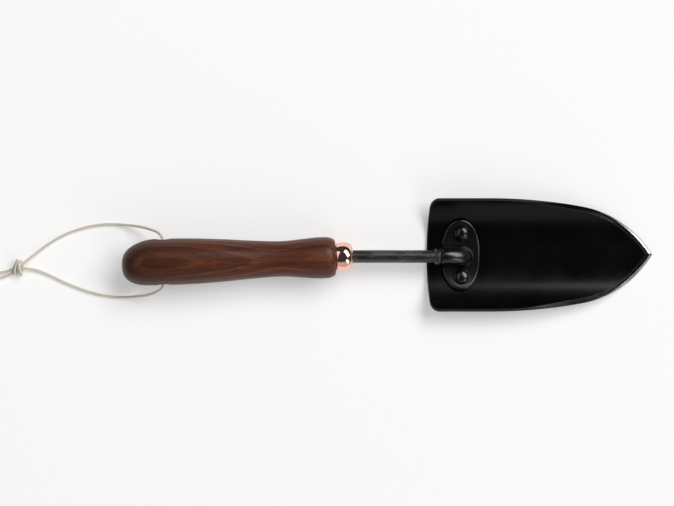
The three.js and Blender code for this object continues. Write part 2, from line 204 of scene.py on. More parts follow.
def studioFloor():
    # opal white table board, lit a little from below: it gives back soft light and keeps shadows pale
    material, tree = newMaterial("opalWhiteBoard")
    surface = addNode(
        tree, "BsdfPrincipled",
        {"Base Color": linear(studio["floorColour"]), "Roughness": 0.9, "IOR": 1.3,
         "Emission Color": (1, 1, 1, 1), "Emission Strength": studio["floorGlow"]},
    )
    addNode(tree, "OutputMaterial", links={"Surface": surface.outputs["BSDF"]})
    half = studio["floorHalf"]
    corners = [(-half, -half, 0), (half, -half, 0), (half, half, 0), (-half, half, 0)]
    mesh = bpy.data.meshes.new("floor")
    mesh.from_pydata(corners, [], [(0, 1, 2, 3)])
    mesh.materials.append(material)
    floor = bpy.data.objects.new("floor", mesh)
    floor.location.z = -studio["floorDrop"]
    scene.collection.objects.link(floor)


def studioRoom():
    world = bpy.data.worlds.new("studioRoom")
    world.use_nodes = True
    tree = world.node_tree
    tree.nodes.clear()
    direction = addNode(tree, "TexCoord")
    parts = addNode(tree, "SeparateXYZ", links={0: direction.outputs["Generated"]})
    bounce = addNode(
        tree, "MapRange",
        {"From Min": -studio["bounceFrom"], "From Max": -studio["bounceFull"],
         "To Min": studio["ceiling"], "To Max": studio["bounce"]},
        {"Value": parts.outputs["Y"]}, interpolation_type="SMOOTHSTEP",
    )
    room = addNode(tree, "Background", links={"Strength": bounce.outputs["Result"]})
    backdrop = addNode(tree, "Background", {"Strength": studio["backdrop"]})
    for node in (room, backdrop):
        node.inputs["Color"].default_value = (1, 1, 1, 1)
    seen = addNode(tree, "LightPath")
    shown = addNode(
        tree, "MixShader",
        links={0: seen.outputs["Is Camera Ray"], 1: room.outputs[0], 2: backdrop.outputs[0]},
    )
    addNode(tree, "OutputWorld", links={"Surface": shown.outputs[0]})
    scene.world = world


def studioLights():
    for name, light in studio["lights"].items():
        azimuth, lean = math.radians(light["azimuth"]), math.radians(light["lean"])
        level = Vector((math.cos(azimuth), math.sin(azimuth), 0)) * math.sin(lean)
        away = level + Vector((0, 0, math.cos(lean)))
        lamp = bpy.data.lights.new(name, "AREA")
        lamp.shape = "RECTANGLE"
        lamp.size = light["width"]
        lamp.size_y = light["height"]
        # a flat lamp's power from how bright its face is
        lamp.energy = light["radiance"] * math.pi * light["width"] * light["height"]
        softbox = bpy.data.objects.new(name, lamp)
        softbox.location = away * light["distance"]
        softbox.rotation_euler = away.to_track_quat("Z", "Y").to_euler()
        scene.collection.objects.link(softbox)


studioFloor()
studioRoom()
studioLights()
print("studio lit")


# Lanyard: one cord of three twisted cotton strands, through the handle and tied in a knot behind it.
lanyard = {
    "diameter": 2.0,
    "strandRadius": 0.52,
    "strandOffset": 0.48,
    "sidesPerStrand": 6,
    "lay": 5.2,  # length of one full turn
    "ringStep": 0.4,
    "unevenness": 0.05,
    "upperLength": 122.0,
    "lowerLength": 118.0,
    "tailLength": 34.0,
    "upperExit": (-147, 11, 14.7),
    "lowerExit": (-146.8, -20.6, 14.7),
    "upperRoute": [
        (-146.3, -4.4, 14.9), (-146.4, 4, 14.9), (-147, 11, 14.7), (-150, 14.7, 13), (-155.8, 17, 10),
        (-162.6, 18.6, 6.4), (-170, 19.5, 3.2), (-178, 20.1, 1.5), (-186.3, 20, 1.1), (-194.2, 18.9, 1.1),
        (-202.1, 16.9, 1.1), (-209.9, 14.1, 1.1), (-217.8, 10, 1.1), (-225.7, 4.8, 1.3), (-232.6, -0.6, 2.1),
        (-237.3, -4.4, 3), (-240.5, -6.9, 3.2),
    ],
    "lowerRoute": [
        (-146.2, -4.9, 14.9), (-146.1, -13, 14.9), (-146.8, -20.6, 14.7), (-150.8, -24, 12.8),
        (-157.2, -26.2, 9.3), (-164.6, -27.2, 5.6), (-172.2, -27.7, 2.6), (-180.6, -27.5, 1.3),
        (-188.8, -26.2, 1.1), (-196.9, -24, 1.1), (-205, -21.1, 1.1), (-213.2, -17.6, 1.1),
        (-221.4, -13.7, 1.1), (-229.4, -10.4, 1.5), (-236.9, -8.9, 2.4), (-241, -8.7, 2.8),
    ],
    "upperTail": [
        (-243.5, -9.2, 2.9), (-247, -9.9, 2.4), (-250.7, -11, 1.5), (-255.1, -11.7, 1.1),
        (-259.6, -11.6, 1.1), (-263.9, -10.5, 1.1), (-267.6, -8.2, 1.1), (-270.4, -5, 1.1), (-272, -1.1, 1.1),
    ],
    "lowerTail": [
        (-243.5, -11, 2.5), (-246.8, -12.4, 2), (-250.4, -13.9, 1.3), (-254.5, -15.2, 1.1),
        (-258.8, -16.8, 1.1), (-262.5, -19.2, 1.1), (-265.4, -22.6, 1.1), (-267.1, -26.7, 1.1),
        (-267.3, -31, 1.1),
    ],
}
knot = {
    "wraps": [  # two groups of turns round the strands
        {"shift": -0.6, "turns": 2.5, "pitch": 2.3, "slant": 0.2, "halfY": 4.5, "halfZ": 2.1, "start": 140},
        {"shift": 1.2, "turns": 1.5, "pitch": 2.0, "slant": -1.9, "halfY": 3.9, "halfZ": 3.0, "start": 200},
    ],
    "turned": -18.0,  # degrees, across the strands
    "tuck": 0.45,  # how far in the ends of each group are drawn
    "tuckOver": 0.25,  # of a turn
    "steps": 34,  # points in each turn
}


def cottonCord():
    # waxed natural cotton, twisted: warm cream, matt, painted a little darker in the grooves between the
    # strands as shade, short fibres
    material, tree = newMaterial("waxedCottonCord")
    place = addNode(tree, "TexCoord")
    fibres = addNode(
        tree, "TexNoise", {"Scale": 1 / (0.35 * mm), "Detail": 3, "Roughness": 0.6},
        {"Vector": place.outputs["Object"]},
    )
    stain = addNode(
        tree, "TexNoise", {"Scale": 1 / (14 * mm), "Detail": 2}, {"Vector": place.outputs["Object"]}
    )
    # painted shade: the grooves between the strands are drawn darker
    grooveShade = addNode(tree, "Attribute", attribute_name="grooveShade")
    shade = addNode(
        tree, "Math", {1: 0.55}, {0: grooveShade.outputs["Fac"], 2: fibres.outputs["Fac"]},
        operation="MULTIPLY_ADD",
    )
    tint = addNode(
        tree, "ValToRGB", links={"Fac": shade.outputs["Value"]},
        stops=[(0.3, "#f8f2e6"), (0.62, "#ebe3d4"), (1.0, "#b5aa97")],
    )
    dirt = addNode(
        tree, "MapRange", {"From Min": 0.5, "From Max": 0.75, "To Max": 0.35}, {"Value": stain.outputs["Fac"]}
    )
    colour = addNode(
        tree, "Mix", {"B": linear("#cfc4b2")}, {"Factor": dirt.outputs["Result"], "A": tint.outputs["Color"]},
        data_type="RGBA",
    )
    matt = addNode(
        tree, "MapRange", {"To Min": 0.7, "To Max": 0.95}, {"Value": fibres.outputs["Fac"]}
    )
    raised = addNode(
        tree, "Bump", {"Strength": 0.6, "Distance": 0.06 * mm}, {"Height": fibres.outputs["Fac"]}
    )
    surface = addNode(
        tree, "BsdfPrincipled", {"IOR": 1.45, "Sheen Weight": 0.25, "Sheen Roughness": 0.5},
        {"Base Color": colour.outputs["Result"], "Roughness": matt.outputs["Result"],
         "Normal": raised.outputs["Normal"]},
    )
    addNode(tree, "OutputMaterial", links={"Surface": surface.outputs["BSDF"]})
    return material


cordMaterial = cottonCord()


# Rings round a path, each the outline of three strands and turned a little further than the one before.
def layRings(path):
    sides = 3 * lanyard["sidesPerStrand"]
    third = 2 * math.pi / 3
    rings, grooves = [], []
    travelled = 0
    across = Vector((0, 0, 1))
    for i, centre in enumerate(path):
        along = (path[min(i + 1, len(path) - 1)] - path[max(i - 1, 0)]).normalized()
        across = (across - along * across.dot(along)).normalized()
        up = along.cross(across)
        travelled += (centre - path[i - 1]).length if i else 0
        twist = 2 * math.pi * travelled / lanyard["lay"]
        size = 1 + lanyard["unevenness"] * noise.noise(centre * 0.6)
        ring = []
        for k in range(sides):
            angle = 2 * math.pi * k / sides
            fromCrown = angle % third - third / 2
            reach = lanyard["strandOffset"] * math.cos(fromCrown)
            cut = lanyard["strandOffset"] * math.sin(fromCrown)
            reach += math.sqrt(lanyard["strandRadius"] ** 2 - cut ** 2)
            way = across * math.cos(angle + twist) + up * math.sin(angle + twist)
            ring.append(centre + way * reach * size)
            # 1 in the grooves between strands, where the cord's material paints shade
            grooves.append(abs(2 * fromCrown / third) ** 3)
        rings.append(ring)
    return rings, grooves


def addStrand(name, route, node):
    path = smoothPath(route, lanyard["ringStep"])
    rings, grooves = layRings(path)
    points, faces = skinRings(rings)
    piece = addPiece(name, points, faces, [cordMaterial], sharpFrom=100)
    setPointValues(piece, "grooveShade", grooves)
    settle(piece, "cotton_cord", node)
    return piece, [point * mm for point in path]


def addKnot():
    low, high = (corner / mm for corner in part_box("lanyard_knot"))
    centre = (low + high) / 2
    askew = Matrix.Rotation(math.radians(knot["turned"]), 3, "Z")
    points, faces, grooves = [], [], []
    for wrap in knot["wraps"]:
        count = round(wrap["turns"] * knot["steps"])
        path = []
        for i in range(count + 1):
            turn = wrap["turns"] * i / count
            angle = 2 * math.pi * turn + math.radians(wrap["start"])
            tuck = knot["tuck"] * (1 - smooth(min(i, count - i), 0, knot["steps"] * knot["tuckOver"]))
            x = wrap["shift"] + wrap["pitch"] * (turn - wrap["turns"] / 2) + wrap["slant"] * math.cos(angle)
            y = wrap["halfY"] * math.cos(angle) * (1 - tuck)
            z = wrap["halfZ"] * math.sin(angle) * (1 - tuck)
            path.append(centre + askew @ Vector((x, y, z)))
        rings, made = layRings(path)
        newPoints, newFaces = skinRings(rings)
        faces += [tuple(index + len(points) for index in face) for face in newFaces]
        points += newPoints
        grooves += made
    piece = addPiece("cord_knot", points, faces, [cordMaterial], sharpFrom=100)
    setPointValues(piece, "grooveShade", grooves)
    settle(piece, "cotton_cord", "lanyard_knot")
    return piece


cordKnot = addKnot()
for name, route, node, exitKey, lengthKey, farEnd in (
    ("cord_upper", "upperRoute", "lanyard_upper", "upperExit", "upperLength", "knot"),
    ("cord_lower", "lowerRoute", "lanyard_lower", "lowerExit", "lowerLength", "knot"),
    ("cord_tail_upper", "upperTail", "lanyard_tail_upper", None, "tailLength", "bare"),
    ("cord_tail_lower", "lowerTail", "lanyard_tail_lower", None, "tailLength", "bare"),
):
    strand, path = addStrand(name, lanyard[route], node)
print("lanyard laid")


def powderCoat(name, finish):
    # black polyester powder coat on steel: almost no colour of its own, a soft sheen with faint orange peel,
    # rubbed a little paler and duller along the edges, where the paleness is partly wear and partly a painted
    # highlight on the rims and the bevel's inner edge. It lies thin on the sheet, and thicker and with more
    # shine on the forged pieces.
    material, tree = newMaterial(name)
    place = addNode(tree, "TexCoord")
    peel = addNode(
        tree, "TexNoise", {"Scale": 1 / (1.1 * mm), "Detail": 2, "Roughness": 0.5},
        {"Vector": place.outputs["Object"]},
    )
    cloud = addNode(
        tree, "TexNoise", {"Scale": 1 / (26 * mm), "Detail": 4, "Roughness": 0.6},
        {"Vector": place.outputs["Object"]},
    )
    speck = addNode(
        tree, "TexNoise", {"Scale": 1 / (0.7 * mm), "Detail": 2}, {"Vector": place.outputs["Object"]}
    )
    edgeWearAndHighlight = addNode(tree, "Attribute", attribute_name="edgeWearAndHighlight")
    # paler along the edges: partly rubbed wear, partly a painted highlight on the rims and the bevel's inner
    # edge
    rubbedAndLit = addNode(
        tree, "Math", {1: 0.5}, {0: edgeWearAndHighlight.outputs["Fac"], 2: speck.outputs["Fac"]}, operation="MULTIPLY_ADD"
    )
    wearAndHighlight = addNode(
        tree, "MapRange", {"From Min": 0.72, "From Max": 1.05}, {"Value": rubbedAndLit.outputs["Value"]}
    )
    body = addNode(
        tree, "ValToRGB", links={"Fac": cloud.outputs["Fac"]}, stops=[(0.3, "#020203"), (0.7, "#060607")]
    )
    colour = addNode(
        tree, "Mix", {"B": linear("#2b2b2c")}, {"Factor": wearAndHighlight.outputs["Result"], "A": body.outputs["Color"]},
        data_type="RGBA",
    )
    gloss = addNode(
        tree, "MapRange",
        {"From Min": 0.3, "From Max": 0.7, "To Min": finish["smoothest"], "To Max": finish["roughest"]},
        {"Value": cloud.outputs["Fac"]},
    )
    dulled = addNode(
        tree, "Math", {1: 0.12}, {0: wearAndHighlight.outputs["Result"], 2: gloss.outputs["Result"]},
        operation="MULTIPLY_ADD",
    )
    raised = addNode(
        tree, "Bump", {"Strength": 1, "Distance": finish["peel"] * mm}, {"Height": peel.outputs["Fac"]}
    )
    surface = addNode(
        tree, "BsdfPrincipled", {"IOR": finish["ior"]},
        {"Base Color": colour.outputs["Result"],
         "Roughness": dulled.outputs["Value"], "Normal": raised.outputs["Normal"]},
    )
    addNode(tree, "OutputMaterial", links={"Surface": surface.outputs["BSDF"]})
    return material


def groundSteel():
    # bare carbon steel, ground on a belt: bright but satin, with scratches that run across the edge
    material, tree = newMaterial("groundCarbonSteel")
    run = addNode(tree, "Attribute", attribute_name="alongEdge")
    place = addNode(tree, "TexCoord")
    lines = addNode(
        tree, "TexNoise", {"Scale": 1 / (0.22 * mm), "Detail": 3, "Roughness": 0.7},
        {"W": run.outputs["Fac"]}, noise_dimensions="1D",
    )
    patch = addNode(
        tree, "TexNoise", {"Scale": 1 / (5 * mm), "Detail": 3}, {"Vector": place.outputs["Object"]}
    )
    mixed = addNode(
        tree, "Math", {1: 0.5}, {0: lines.outputs["Fac"], 2: patch.outputs["Fac"]}, operation="MULTIPLY_ADD"
    )
    bright = addNode(
        tree, "ValToRGB", links={"Fac": mixed.outputs["Value"]},
        stops=[(0.45, "#8f8e8d"), (0.75, "#acabaa"), (1.0, "#c2c1c0")],
    )
    # near its start the grinding is still stained with black, in ragged patches
    bared = addNode(tree, "Attribute", attribute_name="bared")
    ragged = addNode(
        tree, "Math", links={0: bared.outputs["Fac"], 1: patch.outputs["Fac"]}, operation="ADD"
    )
    share = addNode(
        tree, "MapRange", {"From Min": 0.6, "From Max": 1.15}, {"Value": ragged.outputs["Value"]}
    )
    stain = addNode(
        tree, "ValToRGB", links={"Fac": share.outputs["Result"]}, stops=[(0.0, "#131314"), (1.0, "#ffffff")]
    )
    colour = addNode(
        tree, "Mix", {"Factor": 1.0}, {"A": bright.outputs["Color"], "B": stain.outputs["Color"]},
        data_type="RGBA", blend_type="MULTIPLY",
    )
    satin = addNode(
        tree, "MapRange", {"From Min": 0.25, "From Max": 0.75, "To Min": 0.26, "To Max": 0.36},
        {"Value": lines.outputs["Fac"]},
    )
    raised = addNode(
        tree, "Bump", {"Strength": 0.5, "Distance": 0.01 * mm}, {"Height": lines.outputs["Fac"]}
    )
    surface = addNode(
        tree, "BsdfPrincipled", {"Metallic": 1},
        {"Base Color": colour.outputs["Result"], "Roughness": satin.outputs["Result"],
         "Normal": raised.outputs["Normal"]},
    )
    addNode(tree, "OutputMaterial", links={"Surface": surface.outputs["BSDF"]})
    return material


coatMaterial = powderCoat(
    "semiGlossBlackCoatedSheet", {"smoothest": 0.21, "roughest": 0.28, "peel": 0.008, "ior": 1.31}
)
forgedMaterial = powderCoat(
    "satinBlackCoatedForging", {"smoothest": 0.22, "roughest": 0.29, "peel": 0.02, "ior": 1.6}
)
edgeMaterial = groundSteel()

# The trough that blade and pad follow: a flat land that turns smoothly into a round arc on each side.
# s is the distance from the middle, measured along the outer face.
trough = {"sheet": 2.0, "land": 8.0, "blend": 4.0, "radius": 38.0, "step": 0.2, "reach": 48.0}


def troughAngle(s):  # how steep the trough is, which starts to grow softly over the blend
    past = abs(s) - trough["land"]
    t = (past + trough["blend"]) / (2 * trough["blend"])
    if t >= 1:
        return past / trough["radius"]
    return 2 * trough["blend"] / trough["radius"] * (max(t, 0) ** 3 - max(t, 0) ** 4 / 2)


troughLine = [(0.0, 0.0)]
for index in range(round(trough["reach"] / trough["step"])):
    angle = troughAngle((index + 0.5) * trough["step"])
    lastY, lastZ = troughLine[-1]
    troughLine.append((lastY + trough["step"] * math.cos(angle), lastZ + trough["step"] * math.sin(angle)))


def troughDistance(y):
    i = next(i for i, point in enumerate(troughLine) if point[0] > y)
    return trough["step"] * (i - (troughLine[i][0] - y) / (troughLine[i][0] - troughLine[i - 1][0]))


def troughPlace(x, s, depth):  # depth is measured from the outer face into the hollow
    i = min(int(abs(s) / trough["step"]), len(troughLine) - 2)
    share = abs(s) / trough["step"] - i
    y = troughLine[i][0] + (troughLine[i + 1][0] - troughLine[i][0]) * share
    z = troughLine[i][1] + (troughLine[i + 1][1] - troughLine[i][1]) * share
    angle = troughAngle(s)
    return Vector((x, math.copysign(y - depth * math.sin(angle), s), z + depth * math.cos(angle)))


blade = {
    "heelBow": 280.0,
    "heelCorner": 6.3,
    "taperX": 66.0,
    "taperRadius": 340.0,
    "shoulderX": 127.0,
    "shoulderRadius": 69.0,
    "rimRound": 0.45,
    "rimShare": 0.35,  # the most of a thin rim that its rounding takes
    "kneeShare": 0.29,  # where the rounding's middle lies
    "strip": 1.5,  # the faces beside the rim
    "crease": 0.3,
    "bevelFrom": 87.0,
    "bevelFull": 118.0,
    "bevelWidth": 2.5,
    "bevelDrop": 1.5,
    "leastBevel": 0.1,
    "edgeFrom": 136.0,  # the cutting edge outside the bevel, towards the tip
    "edgeFull": 165.0,
    "edgeWidth": {1: 1.6, -1: 1.8},  # ground by hand, so the two sides differ
    "edgeDrop": {1: 0.3, -1: 1.4},
    "tipBevelWidth": 1.9,
    "tipBevelDrop": 0.26,
    "waver": 0.1,
    "waverScale": 0.2,
    "tipPull": 12.0,  # how near the middle the rim's loops start to go straight back from the tip
    "bareFrom": {1: 133.0, -1: 131.0},  # the coat still covers the start of the grinding
    "bareOver": 17.0,
    "pointSteps": 52,
    "taperSteps": 24,
    "columns": 64,
}


def bladeEdges():  # matching points of the heel and the front edge as (x, s), from the middle outwards
    low, high = (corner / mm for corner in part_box("blade"))
    taperAngle = math.asin((blade["shoulderX"] - blade["taperX"]) / blade["taperRadius"])
    taperCentre = high.y - blade["taperRadius"]
    radius = blade["shoulderRadius"]
    centreX = blade["shoulderX"] - radius * math.sin(taperAngle)
    centreY = taperCentre + (blade["taperRadius"] - radius) * math.cos(taperAngle)
    tipAngle = math.acos(-centreY / radius)
    front = []
    for i in range(blade["pointSteps"] + 1):
        angle = tipAngle + (taperAngle - tipAngle) * i / blade["pointSteps"]
        front.append((centreX + radius * math.sin(angle), max(0, centreY + radius * math.cos(angle))))
    for i in range(1, blade["taperSteps"] + 1):
        angle = taperAngle * (1 - i / blade["taperSteps"])
        x = blade["taperX"] + blade["taperRadius"] * math.sin(angle)
        front.append((x, taperCentre + blade["taperRadius"] * math.cos(angle)))
    cornerY = high.y - blade["heelCorner"]
    cornerX = low.x + cornerY ** 2 / (2 * blade["heelBow"]) + blade["heelCorner"]
    heel = []
    for _, y in front:
        bow = low.x + y ** 2 / (2 * blade["heelBow"])
        corner = cornerX - math.sqrt(max(0, blade["heelCorner"] ** 2 - max(0, y - cornerY) ** 2))
        heel.append((bow if y <= cornerY else corner, y))
    return [[(x, troughDistance(y)) for x, y in line] for line in (heel, front)]


def rimSection(x, side):  # (distance in from the edge, depth) from the underside, round the rim, to the top
    sheet = trough["sheet"]
    begun = smooth(x, blade["bevelFrom"], blade["bevelFull"])
    tip = smooth(x, blade["edgeFrom"], blade["edgeFull"])
    waver = 1 + blade["waver"] * noise.noise(Vector((x * blade["waverScale"], side * 5, 0)))
    width = begun * waver * (blade["bevelWidth"] + (blade["tipBevelWidth"] - blade["bevelWidth"]) * tip)
    middle = sheet - begun * (blade["bevelDrop"] + (blade["tipBevelDrop"] - blade["bevelDrop"]) * tip)
    rim = middle - blade["edgeDrop"][side] * tip
    corner = min(blade["rimRound"], blade["rimShare"] * rim)
    knee = blade["kneeShare"] * corner
    edgeEnd = max(blade["edgeWidth"][side] * tip, corner + blade["leastBevel"])
    bevelEnd = edgeEnd + max(width, blade["leastBevel"])
    return [
        (blade["strip"], 0), (corner, 0), (knee, knee), (0, corner),
        (0, rim - corner), (knee, rim - knee), (corner, rim + (middle - rim) * corner / edgeEnd),
        (edgeEnd, middle), ((edgeEnd + bevelEnd) / 2, (middle + sheet) / 2), (bevelEnd, sheet),
        (bevelEnd + blade["crease"], sheet), (bevelEnd + blade["strip"], sheet),
    ]


def addBlade():
    heel, front = bladeEdges()
    outer, columns = len(heel) - 1, blade["columns"]
    wall = [(heel[outer][0] + (front[outer][0] - heel[outer][0]) * c / columns) for c in range(columns + 1)]
    # the outline, counter-clockwise from the tip, as (x, s, row, column) of the grid inside it
    border = [(*front[j], j, columns) for j in range(outer)]
    border += [(wall[c], heel[outer][1], outer, c) for c in range(columns, 0, -1)]
    border += [(*heel[j], j, 0) for j in range(outer, 0, -1)]
    border += [(heel[0][0], 0.0, 0, 0)]
    border += [(x, -s, -row, column) for x, s, row, column in reversed(border[1:-1])]
    count = len(border)
    outline = [Vector(point[:2]) for point in border]
    inward, along = [], [0.0]
    for i, here in enumerate(outline):
        first = (here - outline[i - 1]).normalized()
        second = (outline[(i + 1) % count] - here).normalized()
        left = Vector((-first.y, first.x))
        normal = (left + Vector((-second.y, second.x))).normalized()
        turned = 1 / normal.dot(left)
        pull = 1 - smooth(abs(here.y), 0, blade["tipPull"]) if here.x > blade["shoulderX"] else 0
        way = normal * (1 - pull) + Vector((-1, 0)) * pull
        inward.append(way * turned / way.dot(normal))
        along.append(along[-1] + (outline[(i + 1) % count] - here).length)
    sides = [1 if here.y > 0 else -1 for here in outline]
    sections = [rimSection(here.x, side) for here, side in zip(outline, sides)]
    loops = len(sections[0])
    flat = []
    for k in range(loops):
        flat.append([here + way * section[k][0] for here, way, section in zip(outline, inward, sections)])
    points = [troughPlace(*flat[k][i], sections[i][k][1]) for k in range(loops) for i in range(count)]
    faces, zones = [], []
    cutting = 6  # of the loops, the one where the ground cutting edge starts
    for k in range(loops - 1):
        for i in range(count):
            j = (i + 1) % count
            faces.append((k * count + i, k * count + j, (k + 1) * count + j, (k + 1) * count + i))
            reached = outline[i].x > blade["bareFrom"][sides[i]]
            zones.append(1 if reached and k == cutting else 0)
    # how much each loop is painted paler: partly rubbed wear, partly a painted highlight on the rim and the
    # bevel's inner edge
    rubbedAndLit = {2: 0.25, 3: 1.0, 4: 1.0, 5: 1.0, 6: 1.0, 7: 0.25, 8: 0.25, 9: 1.0, 10: 0.25}  # of the loops
    edgeWearAndHighlightValues = [rubbedAndLit.get(k, 0.0) for k in range(loops) for _ in range(count)]
    runValues = [along[i] * mm for _ in range(loops) for i in range(count)]
    starts = [blade["bareFrom"][side] for side in sides]
    bared = [smooth(here.x, start, start + blade["bareOver"]) for here, start in zip(outline, starts)] * loops
    # grids inside the first and last loops, for the underside and the hollow
    for loop, depth in ((0, 0.0), (loops - 1, trough["sheet"])):
        index = {(row, column): loop * count + i for i, (_, _, row, column) in enumerate(border)}
        for row in range(1 - outer, outer):
            start, end = flat[loop][index[row, 0] % count], flat[loop][index[row, columns] % count]
            for column in range(1, columns):
                index[row, column] = len(points)
                points.append(troughPlace(*start.lerp(end, column / columns), depth))
                edgeWearAndHighlightValues.append(0.0)
                runValues.append(0.0)
                bared.append(0.0)
        for row in range(-outer, outer):
            for column in range(columns):
                corners = ((row, column), (row, column + 1), (row + 1, column + 1), (row + 1, column))
                faces.append(tuple(index[corner] for corner in corners))
                zones.append(0)
    piece = addPiece("trowel_blade", points, faces, [coatMaterial, edgeMaterial], zones=zones, sharpFrom=24)
    setPointValues(piece, "edgeWearAndHighlight", edgeWearAndHighlightValues)
    setPointValues(piece, "alongEdge", runValues)
    setPointValues(piece, "bared", bared)
    return piece


rivet = {
    "spread": 14.9,
    "headRadius": 5.0,
    "headHeight": 3.2,
    "headTop": 88,  # degrees up the dome to its topmost ring, and from ring to ring
    "headStep": 6,
    "seat": 5.15,
    "brim": 0.25,
    "brimSwell": 0.02,
    "brimUnder": 0.35,
    "brimTurnIn": 0.3,
    "shaftRadius": 2.5,
    "tailRadius": 3.8,
    "tailHeight": 1.1,
    "tailRound": 0.1,
    "tailTurnIn": 0.2,
    "tailDimple": 0.06,
    "recess": 0.3,
    "clearance": 0.3,
    "reach": 7.0,  # of the tool that drills for it
    "sides": 48,
}
hubRadius = 0.3  # of the small ring that closes the end of a turned piece
holeSides = 48


def rivetPlace(side):
    low, high = (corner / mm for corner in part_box("rivet_left"))
    s = side * troughDistance(rivet["spread"])
    foot = troughPlace((low.x + high.x) / 2, s, 0)
    axis = (troughPlace(foot.x, s, 1) - foot).normalized()
    return Matrix.Translation(foot) @ Vector((1, 0, 0)).rotation_difference(axis).to_matrix().to_4x4()


def rivetTool(side):  # the hole through pad and blade, countersunk from below
    hole = rivet["shaftRadius"] + rivet["clearance"]
    wide = rivet["tailRadius"] + rivet["clearance"]
    profile = [(-1, wide), (rivet["recess"], wide), (rivet["recess"] + rivet["tailHeight"], hole)]
    profile.append((rivet["reach"], hole))
    return addPiece("tool", *skinRings(turnRings(profile, holeSides)), [], place=rivetPlace(side))


def addRivet(name, side, node):
    seat, radius, thin = rivet["seat"], rivet["headRadius"], rivet["shaftRadius"]
    recess, wide = rivet["recess"], rivet["tailRadius"]
    profile = []
    for degrees in range(rivet["headTop"], 0, -rivet["headStep"]):
        angle = math.radians(degrees)
        profile.append((seat + rivet["headHeight"] * math.sin(angle), radius * math.cos(angle)))
    profile.append((seat - rivet["brim"], radius + rivet["brimSwell"]))
    profile.append((seat - rivet["brimUnder"], radius - rivet["brimTurnIn"]))
    profile += [(seat - rivet["brimUnder"], thin), (recess + rivet["tailHeight"], thin)]
    profile += [(recess + rivet["tailRound"], wide), (recess, wide - rivet["tailTurnIn"])]
    profile.append((recess - rivet["tailDimple"], hubRadius))
    rings = turnRings(profile, rivet["sides"])
    piece = addPiece(name, *skinRings(rings), [forgedMaterial], place=rivetPlace(side))
    settle(piece, "black_coat", node)


bracket = {
    "padReach": 24.3,
    "padPower": 2.2,
    "gap": 0.3,
    "padThickness": 2.2,
    "padRound": 0.9,
    "padLift": 0.2,  # the small chamfer under its rim
    "underRings": [0.04, 0.3, 0.6, 0.85],  # shares of the way from the middle to the rim
    "topRings": [0.88, 0.8, 0.68, 0.55, 0.4, 0.25, 0.1, 0.03],
    "padSides": 112,
    "bossFrom": 34.9,
    "bossTo": 56.0,
    "bossNose": 9.0,
    "crownFrom": 37.0,  # from here the crown slopes down to the nose
    "bossRadius": 5.5,
    "bossFoot": 8.4,
    "flankSteps": 9,
    "crownSteps": 30,
    "crownSlopeSteps": 30,
    "noseTurn": 88.5,  # degrees
    # (distance from its open end, share of the width, share of the rise) where the boss begins
    "mouth": [(0, 0.94, 0.98), (0.25, 0.985, 0.995), (0.8, 1, 1)],
    "footPower": 2.2,
    "bossSink": 0.9,
    "boreFrom": 64.9,  # along the haft
    "boreTo": 75.2,
    "boreRadius": 3.5,
}

# Haft: the axis that shank, ferrule and handle share. It sinks a little towards the tip.
haft = {"pitch": 0.0182, "woodYaw": 0.0262, "woodShift": -0.6, "ferruleFrom": 0.3, "ferruleTo": 11.2}
ferruleLow, ferruleHigh = (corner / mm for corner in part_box("ferrule"))
haftTurn = Matrix.Rotation(haft["pitch"], 4, "Y")
toFace = haftTurn @ Vector(((haft["ferruleFrom"] + haft["ferruleTo"]) / 2, 0, 0))
haftPlace = Matrix.Translation((ferruleLow + ferruleHigh) / 2 - toFace) @ haftTurn
woodTurn = Matrix.Rotation(haft["woodYaw"], 4, "Z")
woodPlace = haftPlace @ Matrix.Translation((0, haft["woodShift"], 0)) @ woodTurn


def axisHeight(x):  # of the haft, above the table
    face = haftPlace.to_translation()
    return face.z - math.tan(haft["pitch"]) * (x - face.x)


def padRings():
    low, high = (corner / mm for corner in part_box("socket_bracket"))
    middleX, halfX = (low.x + high.x) / 2, (high.x - low.x) / 2
    reach = troughDistance(bracket["padReach"])
    under = trough["sheet"] + bracket["gap"]
    top = under + bracket["padThickness"]
    lift, corner = bracket["padLift"], bracket["padRound"]
    levels = [(share, under) for share in bracket["underRings"]]
    levels += [(1 - lift / halfX, under), (1, under + lift)]
    for step in range(5):
        angle = math.radians(22.5 * step)
        levels.append((1 - corner * (1 - math.cos(angle)) / halfX, top - corner * (1 - math.sin(angle))))
    levels += [(share, top) for share in bracket["topRings"]]
    rings = []
    for share, depth in levels:
        ring = []
        for k in range(bracket["padSides"]):
            angle = 2 * math.pi * k / bracket["padSides"]
            cosine, sine = math.cos(angle), math.sin(angle)
            x = math.copysign(abs(cosine) ** (2 / bracket["padPower"]), cosine)
            s = math.copysign(abs(sine) ** (2 / bracket["padPower"]), sine)
            ring.append(troughPlace(middleX + halfX * share * x, reach * share * s, depth))
        rings.append(ring)
    return rings


